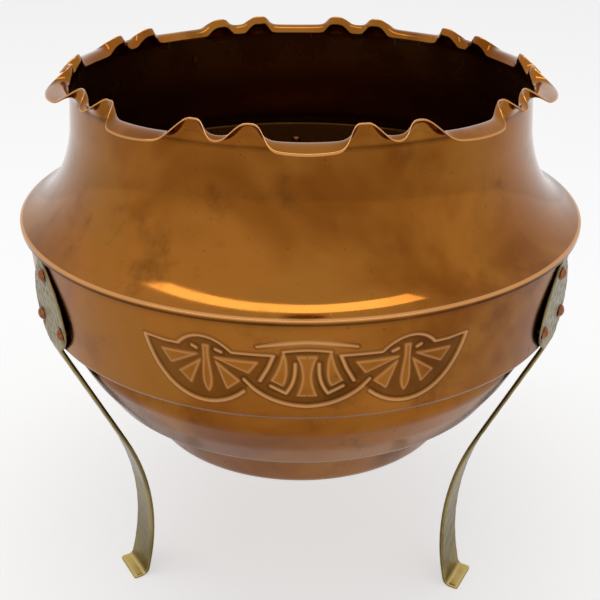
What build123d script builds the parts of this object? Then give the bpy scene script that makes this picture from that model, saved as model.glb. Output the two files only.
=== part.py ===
"""A copper planter on three brass legs, in the style of about 1905.

Two spun copper shells meet in a folded lock seam at the shoulder. The upper shell is the
trumpet-shaped neck with a crimped rim. The lower shell is the band, two tiers and the base.
Three forged brass legs are riveted to the band, with three copper rivets each.

Millimetres, +Z up. The origin is on the bowl's axis, at the level that the feet stand on.
Each leg is drawn standing out along +X, and is then turned to its own place.
"""

import math
import os

from build123d import *

# Shells
sheet = 0.8  # thickness of the copper
seam_height = 211.0  # shoulder's edge above the floor
seam_radius = 145.0  # shoulder's edge, the widest part of the bowl
fold_clearance = 0.1  # between the layers of the lock seam
shoulder_slope = 18.0  # degrees that the shoulder rises at its edge
neck_foot_radius = 116.2  # where the neck becomes nearly upright
neck_foot_rise = 45.4  # and its height over the seam
mouth_radius = 114.8  # the crease that the rim turns out of
mouth_rise = 62.5

# Crimped rim
rim_repeats = 10  # pairs of crimps round the mouth
rim_lap = 2.5  # depth of the collar that the rim is worked from
collar_proud = 0.05  # the collar's extra thickness on each face
crimp_offset = 6.1  # degrees from the middle of a pair to each crimp
crimp_width = 3.0  # degrees, how sharp a crimp is
rim_station_step = 2.0  # degrees between the rim's drawn sections

# Lower shell
band_top_radius = 142.0
band_foot_radius = 138.8
band_drop = 51.0  # band's lower edge under the seam
flange_bend_radius = 0.5  # where the band turns out into its flange
cove_radius = 125.5
cove_depth = 3.5  # how far the cove under the band falls
bulge_radius = 127.3
bulge_drop = 66.0
bulge_foot_radius = 111.3
tier_drop = 93.7  # lower edge of the bulging tier under the seam
bulge_crown = 1.0  # how far the bulge stands out from a straight wall
waist_depth = 1.5
waist_radius = 98.5
base_radius = 84.0
base_drop = 125.5  # underside of the base under the seam
base_corner_radius = 7.0

# Legs
leg_angles = {"left": 210.0, "right": 330.0, "back": 90.0}
leg_seat_clearance = 0.1
plate_thickness = 1.4
plate_half_width = 20.0
plate_length = 50.5
plate_widest_drop = 35.0
plate_tip_clearance = 0.5  # under the folded seam
strap_overlap = 8.0  # how far the strap's full thickness runs up the plate
strap_thickness = 2.3
strap_width = 18.0
foot_width = 21.0
knee_radius = 12.0  # bend where the strap leaves the plate
sweep_radius = 140.0  # long curve of the strap
heel_radius = 5.0
strap_lean = 24.5  # degrees inward, under the plate
ankle_lean = 13.5  # degrees outward, over the foot
heel_reach = 103.0  # radius where the ankle's line meets the floor
toe_reach = 111.3
foot_sway = 6.5  # each foot stands this far clockwise of its plate, seen from above

# Rivets
rivet_head_radius = 3.5
rivet_head_height = 2.0
rivet_shank_radius = 1.6
rivet_hole_clearance = 0.1
rivet_tail_radius = 2.9
rivet_tail_height = 1.2
rivet_tail_edge = 0.3  # upright edge of the tail, past the wall
top_rivet_drop = 13.3  # under the seam
pair_rivet_drop = 39.6
pair_rivet_spread = 13.3  # each side of the leg's middle
hole_reach = 6.0  # a rivet hole's cut, each way from the plate's back

os.makedirs("parts", exist_ok=True)

# Worked out from the sizes above
flange_top = seam_height - sheet - fold_clearance
flange_bottom = flange_top - sheet
hem_bottom = flange_bottom - fold_clearance - sheet
flange_radius = seam_radius - sheet - fold_clearance
mouth_height = seam_height + mouth_rise
band_foot = seam_height - band_drop
band_lean = math.degrees(
    math.atan((band_top_radius - band_foot_radius) / (flange_bottom - band_foot))
)
rivet_hole_radius = rivet_shank_radius + rivet_hole_clearance


def offset_controls(points, distance):
    """Move a control polygon to the left of its direction, with mitred corners."""
    legs = [(end - start).normalized() for start, end in zip(points, points[1:])]
    normals = [Vector(-leg.Y, leg.X) for leg in legs]
    moved = [points[0] + normals[0] * distance]
    for corner, before, after in zip(points[1:], normals, normals[1:]):
        moved.append(corner + (before + after) * (distance / (1 + before.dot(after))))
    moved.append(points[-1] + normals[-1] * distance)
    return moved


def band_radius(height):
    """Outer radius of the plain band at a height."""
    share = (height - band_foot) / (flange_bottom - band_foot)
    return band_foot_radius + share * (band_top_radius - band_foot_radius)


def blend(start, end, share):
    return start + (end - start) * share


def bump(angle, centre, width):
    """A smooth hill of height 1."""
    return math.exp(-(((angle - centre) / width) ** 2))


# ---------------------------------------------------------------- upper shell


def rim_controls(angle):
    """Control points of the rim's section, angle degrees from the middle of a pair of crimps."""
    crease = Vector(mouth_radius, mouth_height)
    wide_knee = crease + Vector(1.3, 5.5)
    wide_edge = crease + Vector(11.5, 0.6)
    small_knee = crease + Vector(1.0, 6.0)
    small_edge = crease + Vector(6.0, 2.8)
    crimp_knee = crease + Vector(0.3, 5.0)
    crimp_edge = crease + Vector(-0.6, 10.0)
    half_repeat = 180 / rim_repeats
    swing = (1 - math.cos(math.pi * angle / half_repeat)) / 2
    crimp = bump(angle, crimp_offset, crimp_width) + bump(angle, -crimp_offset, crimp_width)
    knee = blend(blend(small_knee, wide_knee, swing), crimp_knee, crimp)
    edge = blend(blend(small_edge, wide_edge, swing), crimp_edge, crimp)
    return [crease, knee, edge]


def radial_plane(angle):
    """The upright plane through the axis: x is the radius, y is the height."""
    outward = Vector(1, 0).rotate(Axis.Z, angle)
    return Plane(origin=(0, 0, 0), x_dir=outward, z_dir=outward.cross(Vector(0, 0, 1)))


neck_foot = Vector(neck_foot_radius, seam_height + neck_foot_rise)
crease = Vector(mouth_radius, mouth_height)
neck_fall = (neck_foot - crease).normalized()
collar_foot = crease + neck_fall * rim_lap
neck_top = crease + neck_fall * rim_lap / 2  # ends inside the collar
reach = neck_foot_rise / 2
shoulder_edge = Vector(seam_radius, seam_height)
shoulder_rise = Vector(-1, 0).rotate(Axis.Z, -shoulder_slope)
shoulder_outer = [
    shoulder_edge,
    shoulder_edge + shoulder_rise * reach,
    neck_foot + neck_fall * reach / 2,
    neck_foot,
    neck_top,
]
shoulder_inner = offset_controls(shoulder_outer, sheet)

with BuildPart() as rim_wedge:
    half_repeat = 180 / rim_repeats
    stations = round(2 * half_repeat / rim_station_step)
    for station in range(stations + 1):
        angle = half_repeat * (2 * station / stations - 1)
        controls = [collar_foot] + rim_controls(angle)
        with BuildSketch(radial_plane(angle)):
            with BuildLine():
                outer = offset_controls(controls, -collar_proud)
                inner = offset_controls(controls, sheet + collar_proud)
                Line(outer[0], outer[1])
                Bezier(*outer[1:])
                Line(outer[-1], inner[-1])
                Bezier(*inner[:0:-1])
                Line(inner[1], inner[0])
                Line(inner[0], outer[0])
            make_face()
    loft()

with BuildPart() as upper_shell:
    with BuildSketch(Plane.XZ):
        with BuildLine():
            Bezier(*shoulder_outer[:4])
            Line(neck_foot, neck_top)
            Line(neck_top, shoulder_inner[4])
            Line(shoulder_inner[4], shoulder_inner[3])
            Bezier(*shoulder_inner[3::-1])
            hem_inner = seam_radius - sheet
            hem_edge = band_top_radius + flange_bend_radius + fold_clearance
            Polyline(
                shoulder_inner[0],
                (hem_inner, shoulder_inner[0].Y),
                (hem_inner, hem_bottom + sheet),
                (hem_edge, hem_bottom + sheet),
                (hem_edge, hem_bottom),
                (seam_radius, hem_bottom),
                shoulder_edge,
            )
        make_face()
    revolve(axis=Axis.Z)
    with PolarLocations(0, rim_repeats):
        add(rim_wedge.part)
upper_shell.part.label = "upper_shell"
export_step(upper_shell.part, "parts/upper_shell.step")


# ---------------------------------------------------------------- lower shell

bulge_middle = Vector(
    (bulge_radius + bulge_foot_radius) / 2 + bulge_crown,
    seam_height - (bulge_drop + tier_drop) / 2,
)
# Each corner of the wall's outside, from the flange to the axis, with the radius that rounds it
wall_corners = [
    (Vector(flange_radius, flange_bottom), None),
    (Vector(band_top_radius, flange_bottom), flange_bend_radius),
    (Vector(band_foot_radius, band_foot), 2.0),
    (Vector(cove_radius, band_foot - cove_depth), 3.5),
    (Vector(bulge_radius, seam_height - bulge_drop), 12.0),
    (bulge_middle, 30.0),
    (Vector(bulge_foot_radius, seam_height - tier_drop), 1.6),
    (Vector(waist_radius, seam_height - tier_drop - waist_depth), 2.0),
    (Vector(base_radius, seam_height - base_drop), base_corner_radius),
    (Vector(0, seam_height - base_drop), None),
]


def plate_plane(angle):
    """Back face of a leg's plate: x runs round the bowl, y runs up the plate from the seam's level."""
    outward = Vector(1, 0).rotate(Axis.Z, angle)
    lean = math.radians(band_lean)
    return Plane(
        origin=outward * (band_radius(seam_height) + leg_seat_clearance) + Vector(0, 0, seam_height),
        x_dir=Vector(0, 1).rotate(Axis.Z, angle),
        z_dir=outward * math.cos(lean) - Vector(0, 0, math.sin(lean)),
    )


# Where each rivet of a leg goes, in the plate's plane
rivet_places = {
    "top": (0, -top_rivet_drop),
    "first": (-pair_rivet_spread, -pair_rivet_drop),
    "second": (pair_rivet_spread, -pair_rivet_drop),
}

with BuildPart() as lower_shell:
    with BuildSketch(Plane.XZ):
        with BuildLine():
            FilletPolyline(
                *[corner for corner, radius in wall_corners],
                radius=[radius for corner, radius in wall_corners if radius is not None],
            )
            offset(amount=sheet, side=Side.RIGHT)
        make_face()
    revolve(axis=Axis.Z)
    for angle in leg_angles.values():
        with BuildSketch(plate_plane(angle)):
            with Locations(*rivet_places.values()):
                Circle(rivet_hole_radius)
        extrude(amount=hole_reach, both=True, mode=Mode.SUBTRACT)
lower_shell.part.label = "lower_shell"
export_step(lower_shell.part, "parts/lower_shell.step")


# ---------------------------------------------------------------- legs

plate_back = plate_plane(0)
strap_top = plate_back.from_local_coords((0, strap_overlap - plate_length))
knee = plate_back.from_local_coords((0, -plate_length))
inward = math.tan(math.radians(strap_lean))
outward = math.tan(math.radians(ankle_lean))
shin_height = (heel_reach - knee.X + inward * knee.Z) / (inward + outward)
shin = Vector(heel_reach - outward * shin_height, 0, shin_height)
heel = Vector(heel_reach, 0, 0)
toe = Vector(toe_reach, 0, 0)

# The long curve is as wide as the straight stretch beside the heel has room for
heel_half_turn = math.radians(90 - ankle_lean) / 2
shin_half_turn = math.radians(strap_lean + ankle_lean) / 2
shin_room = (heel - shin).length - 1.05 * heel_radius * math.tan(heel_half_turn)
shin_radius = min(sweep_radius, shin_room / math.tan(shin_half_turn))

with BuildPart() as leg:
    with BuildSketch(Plane.XZ):
        with BuildLine():
            FilletPolyline(
                *[(point.X, point.Z) for point in (strap_top, knee, shin, heel, toe)],
                radius=[knee_radius, shin_radius, heel_radius],
            )
            offset(amount=strap_thickness, side=Side.LEFT)
        make_face()
    extrude(amount=foot_width, both=True)
    with BuildSketch(Plane.YZ):
        with BuildLine():
            sway_top = knee.Z - knee_radius  # the strap leans sideways from here down
            for side in (-1, 1):
                strap_edge = side * strap_width / 2
                foot_edge = side * foot_width / 2 - foot_sway
                Bezier(
                    (foot_edge, 0),
                    (foot_edge + foot_sway * 0.2, sway_top * 0.3),
                    (strap_edge, sway_top * 0.6),
                    (strap_edge, sway_top),
                )
                Line((strap_edge, sway_top), (strap_edge, seam_height))
            Line((-foot_width / 2 - foot_sway, 0), (foot_width / 2 - foot_sway, 0))
            Line((-strap_width / 2, seam_height), (strap_width / 2, seam_height))
        make_face()
    extrude(amount=seam_radius, mode=Mode.INTERSECT)
    with BuildSketch(plate_back):
        with BuildLine():
            tip = Vector(0, hem_bottom - plate_tip_clearance - seam_height)
            widest = Vector(plate_half_width, -plate_widest_drop)
            neck = Vector(strap_width / 2, -plate_length)
            Bezier(
                tip,
                tip + Vector(plate_half_width * 0.45, -6.0),
                widest + Vector(0, plate_widest_drop * 0.37),
                widest,
            )
            Bezier(
                widest,
                widest + Vector(0, (neck.Y - widest.Y) / 2),
                neck + Vector((widest.X - neck.X) / 2, 3.5),
                neck,
            )
            Line(neck, (0, neck.Y))
            mirror(about=Plane.YZ)
        make_face()
    extrude(amount=plate_thickness)
    with BuildSketch(plate_back):
        with Locations(*rivet_places.values()):
            Circle(rivet_hole_radius)
    extrude(amount=hole_reach, both=True, mode=Mode.SUBTRACT)

for leg_name, angle in leg_angles.items():
    with BuildPart() as placed_leg:
        with Locations(Rotation(0, 0, angle)):
            add(leg.part)
    placed_leg.part.label = "leg_" + leg_name
    export_step(placed_leg.part, f"parts/leg_{leg_name}.step")


# ---------------------------------------------------------------- rivets


def make_rivet(angle, spread, rise):
    """Domed head on the plate, shank through the plate and the band, upset tail inside the band."""
    front = plate_plane(angle).offset(plate_thickness)
    seat = front.from_local_coords((spread, rise))
    outer_radius = band_radius(seat.Z)
    recess = outer_radius - math.sqrt(outer_radius**2 - spread**2)
    depth = plate_thickness + leg_seat_clearance + recess + sheet
    tail_edge = depth + rivet_tail_edge
    wall_across = sheet / math.cos(math.radians(band_lean))
    profile_plane = Plane(origin=seat, x_dir=front.x_dir, z_dir=front.x_dir.cross(front.z_dir))
    with BuildPart() as rivet:
        with BuildSketch(profile_plane):
            with BuildLine():
                Polyline(
                    (0, -tail_edge - rivet_tail_height),
                    (0, -depth + rivet_tail_height),
                    (rivet_tail_radius, -depth + rivet_tail_height),
                    (rivet_tail_radius, -tail_edge),
                )
                TangentArc(
                    (0, -tail_edge - rivet_tail_height),
                    (rivet_tail_radius, -tail_edge),
                    tangent=(1, 0),
                )
            make_face()
        revolve(axis=Axis(seat, front.z_dir))
        with Locations((0, 0, band_foot)):
            Cone(
                band_radius(band_foot) - wall_across,
                band_radius(seam_height) - wall_across,
                seam_height - band_foot,
                align=(Align.CENTER, Align.CENTER, Align.MIN),
                mode=Mode.INTERSECT,
            )
        with BuildSketch(profile_plane):
            with BuildLine():
                Polyline(
                    (rivet_head_radius, 0),
                    (rivet_shank_radius, 0),
                    (rivet_shank_radius, -depth - rivet_tail_height / 2),
                    (0, -depth - rivet_tail_height / 2),
                    (0, rivet_head_height),
                )
                TangentArc((0, rivet_head_height), (rivet_head_radius, 0), tangent=(1, 0))
            make_face()
        revolve(axis=Axis(seat, front.z_dir))
    return rivet.part


for leg_name, angle in leg_angles.items():
    for place, (spread, rise) in rivet_places.items():
        rivet_part = make_rivet(angle, spread, rise)
        rivet_part.label = f"rivet_{leg_name}_{place}"
        export_step(rivet_part, f"parts/{rivet_part.label}.step")
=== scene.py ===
import math

import bpy
import numpy as np
from mathutils import Matrix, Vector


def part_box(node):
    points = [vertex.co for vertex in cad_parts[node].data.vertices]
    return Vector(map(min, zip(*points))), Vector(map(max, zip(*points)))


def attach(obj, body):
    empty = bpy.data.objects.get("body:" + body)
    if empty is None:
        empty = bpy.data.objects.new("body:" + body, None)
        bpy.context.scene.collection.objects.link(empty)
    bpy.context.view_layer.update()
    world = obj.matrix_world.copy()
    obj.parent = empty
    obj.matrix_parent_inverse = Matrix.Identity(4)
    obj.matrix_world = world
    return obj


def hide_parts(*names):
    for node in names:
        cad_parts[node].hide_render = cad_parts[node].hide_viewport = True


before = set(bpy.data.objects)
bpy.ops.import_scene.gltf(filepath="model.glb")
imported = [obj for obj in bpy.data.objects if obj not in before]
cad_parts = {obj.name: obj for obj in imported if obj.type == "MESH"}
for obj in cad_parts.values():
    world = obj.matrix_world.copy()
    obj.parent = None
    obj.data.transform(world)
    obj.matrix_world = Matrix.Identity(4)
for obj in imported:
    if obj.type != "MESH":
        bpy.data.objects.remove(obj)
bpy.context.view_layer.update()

# Looks of a copper planter on three brass legs. Lengths are metres, as in the frame; a size that
# is given in millimetres is multiplied by MM. The front is -Y and the bowl's axis is Z.

MM = 0.001
upper_low, upper_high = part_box("upper_shell")
lower_low, lower_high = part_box("lower_shell")

# ------------------------------------------------------------------ sizes, from the frame

SHEET = 0.8 * MM
SEAM_RADIUS = upper_high[0]
HEM_BOTTOM = upper_low[2]
SEAM = HEM_BOTTOM + 2.6 * MM
RIM_TOP = upper_high[2]
BASE = lower_low[2]

# ------------------------------------------------------------------ small tools


def smoothstep(low, high, x):
    t = np.clip((x - low) / (high - low), 0, 1)
    return t * t * (3 - 2 * t)


def bezier(controls, shares):
    """Points on a Bezier curve; each control may be an array, one value for each column."""
    points = [np.asarray(c, dtype=float) for c in controls]
    rows = []
    for share in shares:
        level = points
        while len(level) > 1:
            level = [a + (b - a) * share for a, b in zip(level, level[1:])]
        rows.append(level[0])
    return np.array(rows)


def rounded_path(corners, spacing):
    """A path of (x, y, radius) corners, with round corners, as closely spaced points."""
    points = [np.array(c[:2], dtype=float) for c in corners]
    path = [points[0]]
    for before, corner, after, (_, _, radius) in zip(points, points[1:], points[2:], corners[1:]):
        into = (corner - before) / np.linalg.norm(corner - before)
        out = (after - corner) / np.linalg.norm(after - corner)
        turn = math.acos(np.clip(into @ out, -1, 1))
        reach = radius * math.tan(turn / 2)
        t = np.linspace(0, 1, max(5, int(turn / math.radians(2.5))))[:, None]
        weights = (1 - t) ** 2, 2 * t * (1 - t) * math.cos(turn / 2), t**2
        ends = corner - into * reach, corner, corner + out * reach
        path.extend(sum(w * e for w, e in zip(weights, ends)) / sum(weights))
    path.append(points[-1])
    filled = [path[0]]
    for start, end in zip(path, path[1:]):
        pieces = max(1, math.ceil(np.linalg.norm(end - start) / spacing))
        filled.extend(start + (end - start) * (i + 1) / pieces for i in range(pieces))
    return np.array(filled)


def sideways(path):
    """Unit normals to the left of a path whose points are rows of (x, y)."""
    along = np.gradient(path, axis=0)
    along /= np.maximum(np.linalg.norm(along, axis=-1, keepdims=True), 1e-12)
    return np.stack([-along[..., 1], along[..., 0]], axis=-1)


def make_object(name, vertices, faces, material):
    mesh = bpy.data.meshes.new(name)
    mesh.from_pydata(vertices.tolist(), [], faces)
    mesh.validate()
    mesh.polygons.foreach_set("use_smooth", [True] * len(mesh.polygons))
    mesh.materials.append(material)
    mesh.update()
    piece = bpy.data.objects.new(name, mesh)
    bpy.context.collection.objects.link(piece)
    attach(piece, "root")
    return piece


def grid_faces(rows, columns, close_rows):
    """Quads of a grid whose columns close round; its rows close too, if asked."""
    faces = []
    for i in range(rows if close_rows else rows - 1):
        near, far = i * columns, ((i + 1) % rows) * columns
        for j in range(columns):
            k = (j + 1) % columns
            faces.append((near + j, near + k, far + k, far + j))
    return faces


def turned(radius, height, angles):
    """Points of a turned shape: radius and height are (rows, columns), angle 0 is the front."""
    x = radius * np.sin(angles)
    y = -radius * np.cos(angles)
    return np.stack([x, y, height], axis=-1).reshape(-1, 3)


def paint(piece, name, values):
    """A number for each vertex, which the materials read."""
    layer = piece.data.attributes.new(name, "FLOAT", "POINT")
    layer.data.foreach_set("value", np.asarray(values, dtype=np.float32).ravel())


# ------------------------------------------------------------------ materials


class Nodes:
    """A material's node tree, with short ways to add what the metals share."""

    def __init__(self, name):
        self.material = bpy.data.materials.new(name)
        self.material.use_nodes = True
        self.tree = self.material.node_tree
        self.shader = self.tree.nodes["Principled BSDF"]
        self.place = self.add("ShaderNodeTexCoord").outputs["Object"]

    def add(self, kind, **values):
        node = self.tree.nodes.new(kind)
        for key, value in values.items():
            setattr(node, key, value)
        return node

    def link(self, out, socket):
        self.tree.links.new(out, socket)

    def stretch(self, scale):
        node = self.add("ShaderNodeMapping")
        node.inputs["Scale"].default_value = scale
        self.link(self.place, node.inputs["Vector"])
        return node.outputs["Vector"]

    def noise(self, scale, detail=3.0, rough=0.55, vector=None, distortion=0.0):
        node = self.add("ShaderNodeTexNoise")
        node.inputs["Scale"].default_value = scale
        node.inputs["Detail"].default_value = detail
        node.inputs["Roughness"].default_value = rough
        node.inputs["Distortion"].default_value = distortion
        self.link(vector or self.place, node.inputs["Vector"])
        return node.outputs["Fac"]

    def ramp(self, value, low, high, start=0.0, end=1.0):
        node = self.add("ShaderNodeMapRange", interpolation_type="SMOOTHSTEP")
        node.inputs["From Min"].default_value = low
        node.inputs["From Max"].default_value = high
        node.inputs["To Min"].default_value = start
        node.inputs["To Max"].default_value = end
        self.link(value, node.inputs["Value"])
        return node.outputs["Result"]

    def math(self, operation, a, b):
        node = self.add("ShaderNodeMath", operation=operation)
        for socket, value in zip(node.inputs, (a, b)):
            if isinstance(value, (int, float)):
                socket.default_value = value
            else:
                self.link(value, socket)
        return node.outputs["Value"]

    def mix(self, share, a, b):
        node = self.add("ShaderNodeMix", data_type="RGBA")
        for socket, value in zip((node.inputs[0], node.inputs[6], node.inputs[7]), (share, a, b)):
            if isinstance(value, tuple):
                socket.default_value = (*value, 1.0)
            elif isinstance(value, (int, float)):
                socket.default_value = value
            else:
                self.link(value, socket)
        return node.outputs[2]

    def attribute(self, name):
        return self.add("ShaderNodeAttribute", attribute_name=name).outputs["Fac"]

    def bump(self, height, distance, below=None):
        node = self.add("ShaderNodeBump")
        node.inputs["Distance"].default_value = distance
        self.link(height, node.inputs["Height"])
        if below is not None:
            self.link(below, node.inputs["Normal"])
        return node.outputs["Normal"]

    def finish(self, colour, roughness, normal):
        self.link(colour, self.shader.inputs["Base Color"])
        self.link(roughness, self.shader.inputs["Roughness"])
        self.link(normal, self.shader.inputs["Normal"])
        self.shader.inputs["Metallic"].default_value = 1.0
        return self.material


COPPER_LIGHT = (0.33, 0.118, 0.018)
COPPER_DEEP = (0.18, 0.054, 0.006)
COPPER_BROWN = (0.10, 0.034, 0.006)
SOOT = (0.050, 0.018, 0.006)
INSIDE = (0.27, 0.105, 0.022)
GOLDEN = (0.30, 0.118, 0.018)
VERDIGRIS = (0.10, 0.24, 0.20)
# Dark brown, used for grime and for painted shade
GRIME_AND_SHADE = (0.045, 0.014, 0.002)
# Bright copper, used for rubbed relief tops and for painted highlights on edges
RUBBED_AND_HIGHLIT_COPPER = (0.62, 0.30, 0.11)
BRASS_DARK, BRASS_LIGHT = (0.14, 0.105, 0.035), (0.30, 0.235, 0.085)
BRASS_PITS = (0.06, 0.042, 0.016)
BRASS_RUBBED = (0.52, 0.38, 0.13)
BRASS_GRIME = (0.055, 0.040, 0.020)
RIVET_LIGHT, RIVET_DARK = (0.32, 0.12, 0.045), (0.18, 0.062, 0.022)


def copper_material(name, polish):
    """Spun copper, with a brown patina; polish 1 is a clear mirror and 0 is satin."""
    n = Nodes(name)
    clouds = n.noise(9.0, 4.0, 0.6, distortion=0.6)
    smudges = n.noise(34.0, 5.0, 0.62)
    specks = n.noise(620.0, 2.0, 0.5)
    turning = n.noise(1.0, 2.0, 0.5, n.stretch((18.0, 18.0, 900.0)))
    colour = n.mix(n.ramp(clouds, 0.34, 0.66), COPPER_DEEP, COPPER_LIGHT)
    colour = n.mix(n.ramp(n.noise(15.0, 3.0, 0.6), 0.46, 0.62, 0.0, 0.8), colour, GOLDEN)
    colour = n.mix(n.ramp(smudges, 0.54, 0.76, 0.0, 0.60), colour, COPPER_BROWN)
    scratches = n.ramp(n.noise(1.0, 2.0, 0.6, n.stretch((420.0, 420.0, 26.0))), 0.70, 0.76)
    colour = n.mix(n.ramp(specks, 0.70, 0.78, 0.0, 0.7), colour, SOOT)
    inside = n.attribute("inside")
    colour = n.mix(n.math("MULTIPLY", inside, n.ramp(smudges, 0.3, 0.7, 0.86, 0.97)), colour, INSIDE)
    green = n.math("MULTIPLY", n.attribute("verdigris"), n.ramp(n.noise(85.0, 2.0), 0.60, 0.68))
    colour = n.mix(green, colour, VERDIGRIS)
    # This darkens the copper towards dark brown: patina in the panels' hollows, and painted shade along the
    # rim's crease, under the hem, under the band, above the base, beside the relief's ridges and inside the
    # bowl.
    grime_and_shade = n.attribute("grime_and_shade")
    grime_and_shade_share = n.math("MULTIPLY", grime_and_shade, n.ramp(smudges, 0.25, 0.6, 0.75, 1.0))
    colour = n.mix(grime_and_shade_share, colour, GRIME_AND_SHADE)
    # This brightens the copper: rubbed tops of the relief with a painted highlight on them, and a painted
    # highlight along the rim's cut edge and the hem's fold.
    colour = n.mix(n.math("MULTIPLY", n.attribute("rubbed_and_highlight"), 0.9), colour, RUBBED_AND_HIGHLIT_COPPER)
    satin = 1 - polish
    rough = n.ramp(smudges, 0.3, 0.75, 0.045 + 0.24 * satin, 0.13 + 0.26 * satin)
    rough = n.math("ADD", rough, n.math("MULTIPLY", inside, 0.16))
    rough = n.math("ADD", rough, n.math("MULTIPLY", scratches, 0.22))
    rough = n.math("ADD", rough, n.math("MULTIPLY", grime_and_shade, 0.10))
    waves = n.bump(n.noise(26.0, 1.0, 0.4), 0.25 * MM)
    normal = n.bump(turning, 0.006 * MM, waves)
    return n.finish(colour, rough, normal)


def brass_material():
    """Forged brass gone olive, brighter where the foot has been rubbed."""
    n = Nodes("forged_brass")
    clouds = n.noise(38.0, 4.0, 0.6)
    fine = n.noise(260.0, 3.0, 0.6)
    colour = n.mix(n.ramp(clouds, 0.35, 0.68), BRASS_DARK, BRASS_LIGHT)
    colour = n.mix(n.ramp(fine, 0.55, 0.75, 0.0, 0.5), colour, BRASS_PITS)
    colour = n.mix(n.attribute("rubbed_and_highlight"), colour, BRASS_RUBBED)
    colour = n.mix(n.math("MULTIPLY", n.attribute("grime_and_shade"), 0.85), colour, BRASS_GRIME)
    rough = n.ramp(clouds, 0.3, 0.7, 0.26, 0.42)
    normal = n.bump(fine, 0.05 * MM, n.bump(n.noise(90.0, 2.0, 0.5), 0.25 * MM))
    return n.finish(colour, rough, normal)


def rivet_material():
    """Rivet copper, darker than the shells, with a polished crown."""
    n = Nodes("rivet_copper")
    marks = n.noise(420.0, 3.0, 0.6)
    colour = n.mix(n.ramp(marks, 0.35, 0.7), RIVET_LIGHT, RIVET_DARK)
    rough = n.ramp(marks, 0.3, 0.7, 0.18, 0.34)
    return n.finish(colour, rough, n.bump(marks, 0.08 * MM))


# ------------------------------------------------------------------ upper shell

RIM_REPEATS = 10
CRIMP_OFFSET = math.radians(6.1)
CRIMP_WIDTH = math.radians(3.75)
POCKET_WIDTH = math.radians(2.9)
POCKET_DEPTH = 1.6 * MM
UNEVENNESS = math.radians(0.7)
SHOULDER_SLOPE = math.radians(18.0)
SHOULDER_REACH = 22.7 * MM
UPPER_COLUMNS = 1080
NECK_FOOT = np.array([116.2, 45.4]) * MM + [0, SEAM]
CREASE = np.array([114.8, 62.5]) * MM + [0, SEAM]


def rim_controls(angle):
    """Knee and edge of the rim at each angle, as arrays of (radius, height)."""
    repeat = 2 * math.pi / RIM_REPEATS
    around = angle + repeat / 2
    index = np.round(around / repeat)
    local = around - index * repeat
    # The crimps were made by hand: each pair stands a little out of place
    uneven = 0.35 * np.sin(index * 2.4) + 0.25 * np.sin(index * 5.1 + 1.0)
    local = local + UNEVENNESS * uneven
    swing = ((1 - np.cos(RIM_REPEATS * local)) / 2)[:, None]
    from_crimps = [local - side * CRIMP_OFFSET for side in (-1, 1)]
    crimp = sum(np.exp(-np.abs(turn / CRIMP_WIDTH) ** 3) for turn in from_crimps)[:, None]
    pocket = sum(np.exp(-((turn / POCKET_WIDTH) ** 2)) for turn in from_crimps)[:, None]
    wobble = 1 + 0.10 * np.sin(3 * angle + 0.7)[:, None] * np.cos(5 * angle)[:, None]

    def offset(radius, height):
        return CREASE + np.array([radius, height]) * MM

    knee = offset(1.2, 6.2) * (1 - swing) + offset(1.6, 5.6) * swing
    edge = offset(6.0, 2.6) * (1 - swing) + offset(11.4, 0.4) * swing
    knee = knee + (offset(-1.6, 4.6) - knee) * crimp
    edge = edge + (offset(-0.4, 9.3) - edge) * np.clip(crimp * wobble, 0, 1.02)
    knee = knee - np.array([POCKET_DEPTH, 0.0]) * pocket
    return knee, edge


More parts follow.
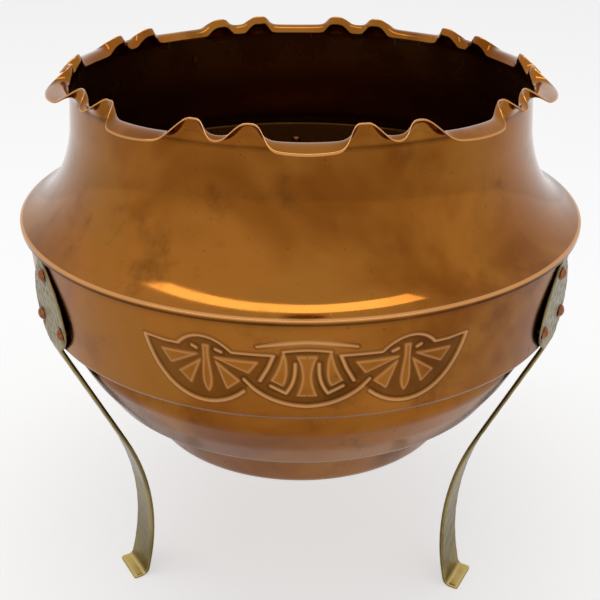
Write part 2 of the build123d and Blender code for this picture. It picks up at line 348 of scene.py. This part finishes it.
def build_upper_shell(material):
    """Hem, shoulder, neck and crimped rim, as one closed skin."""
    columns = UPPER_COLUMNS
    angles = np.linspace(0, 2 * math.pi, columns, endpoint=False)
    shoulder_edge = np.array([SEAM_RADIUS, SEAM])
    rising = np.array([-math.cos(SHOULDER_SLOPE), math.sin(SHOULDER_SLOPE)])
    fall = (NECK_FOOT - CREASE) / np.linalg.norm(NECK_FOOT - CREASE)
    shoulder = bezier(
        [
            shoulder_edge,
            shoulder_edge + rising * SHOULDER_REACH,
            NECK_FOOT + fall * SHOULDER_REACH / 2,
            NECK_FOOT,
        ],
        np.linspace(0.03, 1, 44),
    )
    hem = rounded_path(
        [
            (SEAM_RADIUS - 1.9 * MM, HEM_BOTTOM + 0.25 * MM, 0),
            (SEAM_RADIUS - 1.2 * MM, HEM_BOTTOM, 0.3 * MM),
            (SEAM_RADIUS, HEM_BOTTOM, 0.45 * MM),
            (SEAM_RADIUS, SEAM - 0.15 * MM, 0.4 * MM),
            tuple(shoulder[0]) + (0,),
        ],
        0.5 * MM,
    )
    neck = np.linspace(NECK_FOOT, CREASE, 10)[1:]
    fixed = np.vstack([hem[:-1], shoulder, neck])
    knee, edge = rim_controls(angles)
    crease = np.broadcast_to(CREASE, knee.shape)
    flange = bezier([crease, knee, edge], np.linspace(0, 1, 22)[1:])
    outside = np.concatenate([np.repeat(fixed[:, None, :], columns, axis=1), flange])
    normals = sideways(outside)
    inside = outside + normals * SHEET
    lip = outside[-1] + normals[-1] * SHEET / 2
    along = outside[-1] - outside[-2]
    along /= np.linalg.norm(along, axis=-1, keepdims=True)
    lip = lip + along * SHEET * 0.35
    rows = np.concatenate([outside, lip[None], inside[::-1]])
    height = np.minimum(rows[..., 1], RIM_TOP)
    radius = np.minimum(rows[..., 0], SEAM_RADIUS)
    vertices = turned(radius, height, angles)
    faces = grid_faces(len(rows), columns, True)
    shell = make_object("copper_neck_and_rim", vertices, faces, material)
    blank = np.zeros(rows.shape[:2])
    first_inner = len(outside) + 1
    inner_height = height[first_inner:]
    darkness = blank.copy()
    darkness[first_inner:] = smoothstep(CREASE[1] + 1.5 * MM, CREASE[1] - 3 * MM, inner_height)
    green = blank.copy()
    from_front = np.abs((angles + math.pi) % (2 * math.pi) - math.pi)
    at_back = smoothstep(math.radians(130), math.radians(165), from_front)
    green[first_inner:] = np.exp(-(((inner_height - CREASE[1] + 2 * MM) / (2.5 * MM)) ** 2)) * at_back
    grime_and_shade = blank.copy()
    # Painted shadow: a thin dark line round the outside of the crease below the rim
    crease_shadow = np.exp(-(((height[:first_inner] - CREASE[1] + 0.3 * MM) / (0.9 * MM)) ** 2))
    grime_and_shade[:first_inner] = 0.75 * crease_shadow * (radius[:first_inner] < CREASE[0] + 1 * MM)
    # Painted shade inside the bowl, darker downwards from just above the neck's foot
    grime_and_shade[first_inner:] = 0.75 * smoothstep(NECK_FOOT[1] + 5 * MM, NECK_FOOT[1] - 25 * MM, inner_height)
    rubbed_and_highlight = blank.copy()
    # Painted highlight: the rim's cut edge is coloured bright copper
    rubbed_and_highlight[len(outside) - 1 : first_inner + 1] = 0.9
    # The hem, the shoulder and the neck come first in the rows
    low_height, low_radius = height[: len(fixed)], radius[: len(fixed)]
    # Painted highlight along the hem's fold at the seam, and painted shade on the hem below it
    fold_highlight = (np.abs(low_height - SEAM) < 0.5 * MM) & (low_radius > SEAM_RADIUS - 1.5 * MM)
    rubbed_and_highlight[: len(fixed)] = 0.9 * fold_highlight
    grime_and_shade[: len(fixed)] += 0.85 * smoothstep(SEAM - 0.9 * MM, SEAM - 1.5 * MM, low_height)
    paint(shell, "inside", darkness)
    paint(shell, "verdigris", green)
    paint(shell, "grime_and_shade", grime_and_shade)
    paint(shell, "rubbed_and_highlight", rubbed_and_highlight)
    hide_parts("upper_shell")
    return shell


# ------------------------------------------------------------------ lower shell

BAND_TOP = SEAM - 1.7 * MM
BAND_FOOT = SEAM - 51.0 * MM
BAND_TOP_RADIUS = 142.0 * MM
BAND_FOOT_RADIUS = 138.8 * MM
BAND_MIDDLE = SEAM - 25.5 * MM
BAND_MEAN_RADIUS = 140.5 * MM
PANELS = (0.0, 2 * math.pi / 3, -2 * math.pi / 3)
PANEL_HALF = math.radians(31.0)

# The panel is its own mirror image: x is the distance from its middle, y the height over the
# band's middle, both in millimetres.


def curve(*controls):
    """Points on a Bezier curve, as a list that an outline can take in."""
    return list(bezier(controls, np.linspace(0, 1, 17)))


WING = [
    *curve((27, -12), (42, -26), (65, -20), (72, 9)),
    (62, 8),
    *curve((56, 8), (50, 15.5), (40, 15.5), (32, 7)),
    (14, 7),
    (16.5, 0.5),
    (20, -6),
]
BOWL = curve((-2, -18.5), (10, -18.5), (20, -14.5), (27, -6))
CENTRE = [(-1, -18.5), *BOWL, (20, -6), (14, 7), (10, 9.5), (-1, 10.5)]
TOP_BAR = curve((21, 11), (12, 13), (4, 14), (-4, 14))
FRAME_TOP = curve((10, 9), (4, 10), (-4, 10))
FRAME_FOOT = [(15.5, -8.5), (9, -12)]
FRAME_SIDE = curve((9, -12), (5.5, -7), (5, -3), (5, 3))
TICKS = [[(49.5, 8), (47.5, 7)], [(36.5, 6.5), (39, 7.5)]]
POST = [*curve((10, 9), (11, 1), (15, -5.5)), *curve((10.5, -8), (8, -5), (9, 5))]
COLUMN = [(-1, 6.5), *curve((4, 6.5), (1, 0), (1, -6), (4, -13)), (-1, -13)]
CLUB = [
    *curve((44.5, 9), (43.5, 1), (47, -9), (43, -14)),
    *curve((43, -14), (39, -9), (43.5, 1), (42, 9))[1:],
]
FANS = [
    [(64, 3.5), (47.5, 4), (60, -2.5)],
    [(56, -6), (46, 1.5), (51, -11)],
    [(39.5, 3.5), (21, 3), (25, -2.5)],
    [(39, 1.5), (29, -7), (34.5, -11.5)],
]


def distance_to(line, x, y):
    """Distance from each point to a polyline."""
    best = np.full(x.shape, 1e9)
    for (ax, ay), (bx, by) in zip(line, line[1:]):
        dx, dy = bx - ax, by - ay
        share = np.clip(((x - ax) * dx + (y - ay) * dy) / (dx * dx + dy * dy), 0, 1)
        best = np.minimum(best, np.hypot(x - ax - share * dx, y - ay - share * dy))
    return best


def depth_in(shape, x, y):
    """Distance into a closed shape: positive inside it."""
    odd = np.zeros(x.shape, dtype=bool)
    closed = list(shape) + [shape[0]]
    for (ax, ay), (bx, by) in zip(closed, closed[1:]):
        if ay == by:
            continue
        crosses = ((ay > y) != (by > y)) & (x < (bx - ax) * (y - ay) / (by - ay) + ax)
        odd ^= crosses
    return np.where(odd, 1, -1) * distance_to(closed, x, y)


def relief(x, y):
    """Height of the repousse in millimetres, the darkening of the panel (patina in the hollows and painted
    shade beside the ridges), and the ridge tops (rubbed, with a painted highlight).
    """
    x = np.abs(x)
    ground = np.maximum(
        smoothstep(-0.2, 1.4, depth_in(WING, x, y)), smoothstep(-0.2, 1.4, depth_in(CENTRE, x, y))
    )
    raised = np.zeros(x.shape)
    rims = np.zeros(x.shape)
    for island in [*FANS, CLUB, POST, COLUMN]:
        outline = [*island, island[0]]
        raised = np.maximum(raised, smoothstep(-0.9, 0.3, depth_in(island, x, y)))
        rims = np.maximum(rims, np.exp(-((distance_to(outline, x, y) / 0.5) ** 2)))
    rims *= x > 0.3
    lines = [WING, BOWL, FRAME_TOP, FRAME_FOOT, FRAME_SIDE, *TICKS]
    away = np.minimum.reduce([distance_to(line, x, y) for line in lines])
    taper = 0.5 + 0.5 * smoothstep(22.0, 8.0, x)
    ridges = np.maximum(np.exp(-((away / 0.62) ** 2)), np.exp(-((distance_to(TOP_BAR, x, y) / taper) ** 2)))
    height = -0.45 * ground * (1 - raised) + 0.06 * raised
    height = height + 0.50 * np.maximum(ridges, 0.5 * rims * raised)
    away = np.minimum(away, distance_to(TOP_BAR, x, y))
    # Patina darkens the sunken ground, a band of painted shade lies beside each ridge, and the ridge tops
    # get rubbed copper with a painted highlight.
    beside = smoothstep(1.8, 0.9, away)
    hollow = ground * (1 - raised)
    top = np.maximum(ridges, 0.7 * rims * raised)
    grime_and_shade = np.maximum(hollow * (0.55 + 0.45 * smoothstep(2.4, 0.8, away)), 0.75 * beside)
    return height, grime_and_shade * (1 - top), top


def panel_columns():
    """Angles round the bowl, closely spaced where a panel is."""
    fine, coarse = math.radians(0.22), math.radians(0.7)
    pitch = 2 * math.pi / len(PANELS)
    inner = np.arange(-PANEL_HALF, PANEL_HALF, fine)
    gap = pitch - (inner[-1] - inner[0])
    outer = np.linspace(inner[-1], inner[-1] + gap, int(gap / coarse) + 1)[1:-1]
    turn = np.concatenate([inner, outer])
    return np.sort(np.concatenate([turn + panel for panel in PANELS]))


def lower_profile():
    """The outside of the lower shell from the flange to the middle of the base."""
    return rounded_path(
        [
            (SEAM_RADIUS - 1.0 * MM, BAND_TOP, 0),
            (BAND_TOP_RADIUS, BAND_TOP, 0.5 * MM),
            (BAND_FOOT_RADIUS, BAND_FOOT, 2.0 * MM),
            (125.5 * MM, BAND_FOOT - 3.5 * MM, 3.5 * MM),
            (127.3 * MM, SEAM - 66.0 * MM, 12.0 * MM),
            (120.3 * MM, SEAM - 79.85 * MM, 30.0 * MM),
            (111.3 * MM, SEAM - 93.7 * MM, 1.6 * MM),
            (98.5 * MM, SEAM - 95.2 * MM, 2.0 * MM),
            (84.0 * MM, BASE, 7.0 * MM),
            (9.0 * MM, BASE, 4.0 * MM),
            (0.02 * MM, BASE + 0.5 * MM, 0),
        ],
        0.62 * MM,
    )


def thinned(outside, on_band):
    """Which rows to keep: all on the band and in the bends, and fewer elsewhere."""
    keep = on_band.copy()
    last = outside[0]
    for i, point in enumerate(outside):
        bend = 0 < i < len(outside) - 1 and np.linalg.norm(
            outside[i + 1] + outside[i - 1] - 2 * point
        ) > 0.02 * MM
        if keep[i] or i in (0, len(outside) - 1) or bend or np.linalg.norm(point - last) > 2.0 * MM:
            keep[i] = True
            last = point
    return keep


def build_lower_shell(material):
    """Flange, band with its panels, cove, tiers and base, as one closed skin."""
    outside = lower_profile()
    on_band = (outside[:, 1] < BAND_TOP - 1 * MM) & (outside[:, 1] > BAND_FOOT + 2 * MM)
    keep = thinned(outside, on_band)
    outside = outside[keep]
    on_band = on_band[keep]
    angles = panel_columns()
    columns = len(angles)
    shape = (len(outside), columns)
    height_mm = np.zeros(shape)
    grime_and_shade = np.zeros(shape)
    rubbed_and_highlight = np.zeros(shape)
    rows = np.flatnonzero(on_band)
    for panel in PANELS:
        turn = (angles - panel + math.pi) % (2 * math.pi) - math.pi
        inside_panel = np.flatnonzero(np.abs(turn) <= PANEL_HALF)
        along = turn[inside_panel] * BAND_MEAN_RADIUS / MM
        x, y = np.meshgrid(along, (outside[rows, 1] - BAND_MIDDLE) / MM)
        target = np.ix_(rows, inside_panel)
        height_mm[target], grime_and_shade[target], rubbed_and_highlight[target] = relief(x, y)
    outward = sideways(outside)[:, None, :]
    skin = outside[:, None, :] + outward * (height_mm * MM)[..., None]
    back = skin - outward * SHEET
    loop = np.concatenate([skin, back[::-1]])
    vertices = turned(np.maximum(loop[..., 0], 0.0), loop[..., 1], angles)
    faces = grid_faces(len(loop), columns, True)
    shell = make_object("copper_band_and_base", vertices, faces, material)
    blank = np.zeros_like(grime_and_shade)
    # Painted shade in the cove under the band, in the step above the base and on the band just below the
    # seam
    under = np.exp(-(((outside[:, 1] - (BAND_FOOT - 2.6 * MM)) / (2.6 * MM)) ** 2))
    under += np.exp(-(((outside[:, 1] - (SEAM - 95.5 * MM)) / (2.2 * MM)) ** 2))
    under += 0.7 * np.exp(-(((outside[:, 1] - BAND_TOP) / (3.0 * MM)) ** 2))
    grime_and_shade = np.maximum(grime_and_shade, np.clip(under, 0, 1)[:, None])
    paint(shell, "inside", np.concatenate([blank, blank + 1.0]))
    # Painted shade over the whole inside of this shell
    paint(shell, "grime_and_shade", np.concatenate([grime_and_shade, blank + 0.6]))
    paint(shell, "rubbed_and_highlight", np.concatenate([rubbed_and_highlight, blank]))
    paint(shell, "verdigris", np.concatenate([blank, blank]))
    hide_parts("lower_shell")
    return shell


# ------------------------------------------------------------------ legs

LEGS = {"left": 210.0, "right": 330.0, "back": 90.0}
BAND_LEAN = math.atan2(BAND_TOP_RADIUS - BAND_FOOT_RADIUS, BAND_TOP - BAND_FOOT)
SEAT = 0.1 * MM
PLATE_TIP = SEAM - HEM_BOTTOM + 0.5 * MM
PLATE_LENGTH = 50.5 * MM
STRAP_WIDTH = 18.0 * MM
FOOT_WIDTH = 21.0 * MM
FOOT_SWAY = 6.5 * MM
RIVETS = [(0.0, 13.3 * MM), (-13.3 * MM, 39.6 * MM), (13.3 * MM, 39.6 * MM)]


def leg_back_line():
    """The leg's back face from the plate's tip to the toe, as (radius, height)."""
    lean = math.tan(BAND_LEAN)
    top = BAND_TOP_RADIUS + SEAT + (SEAM - BAND_TOP) * lean
    tip = (top - PLATE_TIP * lean, SEAM - PLATE_TIP)
    knee = (top - PLATE_LENGTH * lean, SEAM - PLATE_LENGTH)
    inward, outward = math.tan(math.radians(24.5)), math.tan(math.radians(13.5))
    heel = 103.0 * MM
    shin_height = (heel - knee[0] + inward * knee[1]) / (inward + outward)
    shin = (heel - outward * shin_height, shin_height)
    toe = 111.3 * MM
    corners = [(*tip, 0), (*knee, 12 * MM), (*shin, 140 * MM), (heel, 0.0, 5 * MM), (toe, 0.0, 0)]
    return rounded_path(corners, 0.9 * MM)


def leaf_half_width(fall):
    """Half the width of the plate at a distance down from its tip."""
    shares = np.linspace(0, 1, 60)
    widest = 35.0 * MM - PLATE_TIP
    top = bezier(
        [(0, 0), (9.0 * MM, 6.0 * MM), (20 * MM, widest * 0.6), (20 * MM, widest)], shares
    )
    end = PLATE_LENGTH - PLATE_TIP
    low = bezier(
        [
            (20 * MM, widest),
            (20 * MM, (widest + end) / 2),
            (STRAP_WIDTH / 2 + 5.5 * MM, end - 3.5 * MM),
            (STRAP_WIDTH / 2, end),
        ],
        shares,
    )
    line = np.vstack([top, low[1:]])
    return np.interp(fall, line[:, 1], line[:, 0])


def hammer_marks(x, s, seed):
    """Shallow round dents of a hammer, in millimetres of depth."""
    rng = np.random.default_rng(seed)
    depth = np.zeros(x.shape)
    for row in np.arange(0, 60, 4.6):
        for column in np.arange(-21, 22, 4.9):
            cx = (column + rng.uniform(-1.3, 1.3)) * MM
            cs = (row + rng.uniform(-1.3, 1.3)) * MM
            size = rng.uniform(2.3, 3.3) * MM
            deep = rng.uniform(0.20, 0.42)
            dent = deep * (1 - smoothstep(0.0, 1.0, np.hypot(x - cx, s - cs) / size))
            depth = np.maximum(depth, dent)
    return depth


def build_leg(name, angle, material, seed):
    """Plate, strap and foot of one leg, turned to its place round the bowl."""
    back = leg_back_line()
    steps = np.linalg.norm(np.diff(back, axis=0), axis=1)
    travel = np.concatenate([[0], np.cumsum(steps)])
    total = travel[-1]
    plate_end = PLATE_LENGTH - PLATE_TIP
    half = np.where(travel < plate_end, leaf_half_width(travel), STRAP_WIDTH / 2)
    sway_top = SEAM - PLATE_LENGTH * math.cos(BAND_LEAN) - 12 * MM
    shares = np.linspace(0, 1, 200)
    sway_line = bezier([(FOOT_SWAY, 0), (FOOT_SWAY * 0.8, 0.3), (0, 0.6), (0, 1)], shares)
    width_line = bezier([(1, 0), (1, 0.3), (0, 0.6), (0, 1)], shares)
    share_up = back[:, 1] / sway_top
    below = travel > plate_end
    sway = np.where(below, np.interp(share_up, sway_line[:, 1], sway_line[:, 0]), 0)
    wider = np.where(below, np.interp(share_up, width_line[:, 1], width_line[:, 0]), 0)
    half = half + (FOOT_WIDTH - STRAP_WIDTH) / 2 * wider
    half[0] = 0.6 * MM
    half[-1] -= 0.5 * MM
    thick = 1.3 * MM + 0.95 * MM * smoothstep(plate_end - 12 * MM, plate_end + 6 * MM, travel)
    thick[-1] -= 0.5 * MM
    normals = sideways(back)

    # One ring round the section for each step: across the front, then back across the rear
    middle = np.linspace(-0.90, 0.90, 55)
    across = np.concatenate([[-1.0, -0.985, -0.95], middle, [0.95, 0.985, 1.0]])
    front_fill = np.concatenate([[0.35, 0.72, 0.93], np.ones(len(middle)), [0.93, 0.72, 0.35]])
    ring_x = np.concatenate([across, across[::-1]])
    ring_y = np.concatenate([front_fill, 1 - front_fill[::-1]])
    x = half[:, None] * ring_x[None, :]
    lift = thick[:, None] * np.broadcast_to(ring_y, x.shape)
    front = (np.arange(len(ring_x)) < len(across))[None, :]
    dents = hammer_marks(x, travel[:, None], seed)
    fading = 1 - smoothstep(plate_end - 2 * MM, plate_end + 14 * MM, travel)[:, None]
    strap_marks = 0.10 * np.sin(travel[:, None] / MM * 0.55 + 9 * x / half.max()) * (1 - fading)
    marks = dents * fading + 0.06 * (1 - fading) + strap_marks * 0.5
    lift = lift - np.where(front, marks * MM, 0)
    radial = back[:, None, 0] + normals[:, None, 0] * lift
    height = np.maximum(back[:, None, 1] + normals[:, None, 1] * lift, 0.0)
    local = np.stack([radial, x - sway[:, None], height], axis=-1).reshape(-1, 3)
    turn = math.radians(angle)
    spun = local.copy()
    spun[:, 0] = local[:, 0] * math.cos(turn) - local[:, 1] * math.sin(turn)
    spun[:, 1] = local[:, 0] * math.sin(turn) + local[:, 1] * math.cos(turn)
    columns = len(ring_x)
    faces = grid_faces(len(back), columns, False)
    faces.append(tuple(range(columns))[::-1])
    faces.append(tuple(range((len(back) - 1) * columns, len(back) * columns)))
    leg = make_object(f"brass_leg_{name}", spun, faces, material)
    rubbed_and_highlight = smoothstep(total - 9 * MM, total - 6 * MM, travel)[:, None] * np.where(front, 0.9, 0.3)
    edge = np.exp(-(((1 - np.abs(ring_x)) / 0.03) ** 2))[None, :] * 0.35
    paint(leg, "rubbed_and_highlight", np.clip(rubbed_and_highlight + edge, 0, 1))
    grime_and_shade = np.zeros(x.shape)
    for cx, drop in RIVETS:
        ring = np.hypot(x - cx, travel[:, None] + PLATE_TIP - drop)
        grime_and_shade = np.maximum(grime_and_shade, np.exp(-(((ring - 4.0 * MM) / (1.3 * MM)) ** 2)))
    # The back of the leg is darker all over; on the front, a dark ring runs round each rivet.
    grime_and_shade = np.where(front, grime_and_shade, 0.7)
    paint(leg, "grime_and_shade", grime_and_shade * np.where(rubbed_and_highlight > 0.2, 0.0, 1.0))
    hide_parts(f"leg_{name}")
    return leg


# ------------------------------------------------------------------ stage, light and camera


FLOOR_GLOW = 0.54
CAMERA_TURN = math.radians(1.3)
CAMERA_DISTANCE = 502 * MM
CAMERA_RISE = 187 * MM
CAMERA_DOWN = math.radians(26.41)
CAMERA_ROLL = math.radians(0.34)


def background_seen(tree):
    """1 for camera, glossy and transmission rays, so the metal shows the camera's background."""
    path = tree.nodes.new("ShaderNodeLightPath")
    seen = path.outputs["Is Camera Ray"]
    for kind in ("Is Glossy Ray", "Is Transmission Ray"):
        either = tree.nodes.new("ShaderNodeMath")
        either.operation = "MAXIMUM"
        tree.links.new(seen, either.inputs[0])
        tree.links.new(path.outputs[kind], either.inputs[1])
        seen = either.outputs[0]
    return seen


def build_floor():
    """A plain pale floor, as pale in the metal as it is to the camera."""
    size = 6.0
    corners = [(-size, -size, 0), (size, -size, 0), (size, size, 0), (-size, size, 0)]
    mesh = bpy.data.meshes.new("floor")
    mesh.from_pydata(corners, [], [(0, 1, 2, 3)])
    floor = bpy.data.objects.new("floor", mesh)
    bpy.context.collection.objects.link(floor)
    n = Nodes("pale_floor")
    n.tree.nodes.remove(n.shader)
    diffuse = n.add("ShaderNodeBsdfDiffuse")
    diffuse.inputs["Color"].default_value = (0.80, 0.80, 0.80, 1.0)
    glow = n.add("ShaderNodeEmission")
    n.link(n.math("MULTIPLY", background_seen(n.tree), FLOOR_GLOW), glow.inputs["Strength"])
    total = n.add("ShaderNodeAddShader")
    n.link(diffuse.outputs[0], total.inputs[0])
    n.link(glow.outputs[0], total.inputs[1])
    n.link(total.outputs[0], n.tree.nodes["Material Output"].inputs["Surface"])
    mesh.materials.append(n.material)


def build_world():
    """Plain white to the camera and in the metal, and a soft even fill for the rest."""
    world = bpy.data.worlds.new("studio")
    bpy.context.scene.world = world
    world.use_nodes = True
    tree = world.node_tree
    tree.nodes.clear()
    strength = tree.nodes.new("ShaderNodeMapRange")
    strength.inputs["To Min"].default_value = 0.40
    strength.inputs["To Max"].default_value = 1.0
    tree.links.new(background_seen(tree), strength.inputs["Value"])
    background = tree.nodes.new("ShaderNodeBackground")
    background.inputs["Color"].default_value = (1.0, 1.0, 1.0, 1.0)
    tree.links.new(strength.outputs["Result"], background.inputs["Strength"])
    output = tree.nodes.new("ShaderNodeOutputWorld")
    tree.links.new(background.outputs[0], output.inputs[0])


def add_softbox():
    """One plain soft lamp over the bowl."""
    lamp = bpy.data.lights.new("softbox", "AREA")
    lamp.shape = "RECTANGLE"
    lamp.size, lamp.size_y = 1.6, 0.30
    lamp.energy = 4.5
    softbox = bpy.data.objects.new("softbox", lamp)
    softbox.location = (-0.15, -0.05, 1.5)
    bpy.context.collection.objects.link(softbox)


def add_camera():
    """Fitted to the bowl's ellipses: 502 mm from the axis, looking down 26.4 degrees."""
    camera = bpy.data.objects.new("camera", bpy.data.cameras.new("camera"))
    x = -CAMERA_DISTANCE * math.sin(CAMERA_TURN)
    y = -CAMERA_DISTANCE * math.cos(CAMERA_TURN)
    camera.location = (x, y, SEAM + CAMERA_RISE)
    aim = Matrix.Rotation(-CAMERA_TURN, 3, "Z") @ Matrix.Rotation(math.pi / 2 - CAMERA_DOWN, 3, "X")
    camera.rotation_euler = (aim @ Matrix.Rotation(CAMERA_ROLL, 3, "Z")).to_euler()
    camera.data.lens = 60.0
    camera.data.sensor_width = 36.0
    camera.data.clip_start = 0.01
    bpy.context.collection.objects.link(camera)
    bpy.context.scene.camera = camera


copper_bright = copper_material("spun_copper_polished", 0.9)
copper_satin = copper_material("spun_copper_satin", 0.35)
brass = brass_material()
rivet_copper = rivet_material()
build_upper_shell(copper_bright)
build_lower_shell(copper_satin)
for seed, (leg_name, leg_angle) in enumerate(LEGS.items()):
    build_leg(leg_name, leg_angle, brass, seed)
for node_name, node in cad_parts.items():
    if node_name.startswith("rivet"):
        node.data.materials.clear()
        node.data.materials.append(rivet_copper)
build_floor()
build_world()
add_softbox()
add_camera()
bpy.context.scene.view_settings.view_transform = "Standard"
